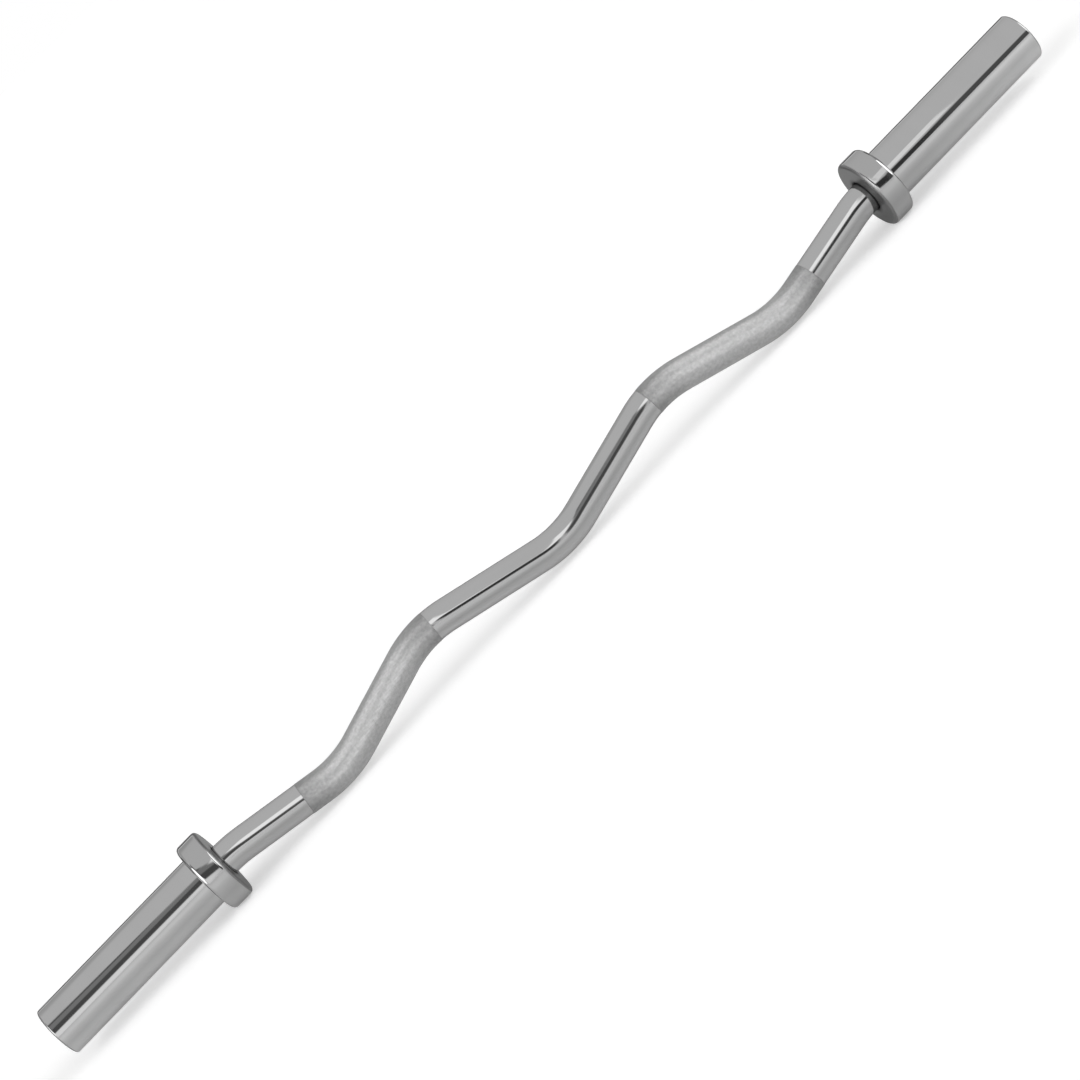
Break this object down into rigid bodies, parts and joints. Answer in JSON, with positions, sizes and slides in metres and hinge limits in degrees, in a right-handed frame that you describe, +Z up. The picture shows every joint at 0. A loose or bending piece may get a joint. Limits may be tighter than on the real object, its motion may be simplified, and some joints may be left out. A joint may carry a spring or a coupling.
{
  "type": "ez curl bar",
  "caption": "Chrome curl bar bent into a shallow W, with knurled slanted grips and a free-spinning plate sleeve outside a stop collar at each end.",
  "frame": {"origin": "on the sleeves' axis, half way along the bar, which is the centre of its box", "axes": "+X along the sleeves to the right-hand end, +Z up; the W hangs in the XZ plane with its middle bend lowest, as the bar comes to rest on its collars"},
  "size_m": [1.2, 0.072, 0.072],
  "materials": {
    "bar_chrome": "polished chrome plate, satin where it is knurled",
    "chrome": "polished chrome plate",
    "bronze": "turned bronze, greased",
    "zinc_steel": "zinc plated steel",
    "satin_steel": "turned, satin plated steel",
    "spring_steel": "blackened spring steel"
  },
  "bodies": {
    "bar": {"shaft": "bar_chrome", "left_outer_thrust_washer": "bronze", "left_support_washer": "zinc_steel", "left_journal_snap_ring": "spring_steel", "right_outer_thrust_washer": "bronze", "right_support_washer": "zinc_steel", "right_journal_snap_ring": "spring_steel"},
    "left_sleeve": {"left_collar": "chrome", "left_sleeve_tube": "chrome", "left_inner_thrust_washer": "bronze", "left_inner_bushing": "bronze", "left_outer_bushing": "bronze", "left_end_cap": "satin_steel", "left_end_cap_snap_ring": "spring_steel"},
    "right_sleeve": {"right_collar": "chrome", "right_sleeve_tube": "chrome", "right_inner_thrust_washer": "bronze", "right_inner_bushing": "bronze", "right_outer_bushing": "bronze", "right_end_cap": "satin_steel", "right_end_cap_snap_ring": "spring_steel"}
  },
  "joints": [
    {"name": "left_sleeve_spin", "type": "hinge", "parent": "bar", "child": "left_sleeve", "pos_m": [-0.5, 0, 0], "axis": [-1, 0, 0], "continuous": true},
    {"name": "right_sleeve_spin", "type": "hinge", "parent": "bar", "child": "right_sleeve", "pos_m": [0.5, 0, 0], "axis": [1, 0, 0], "continuous": true}
  ]
}
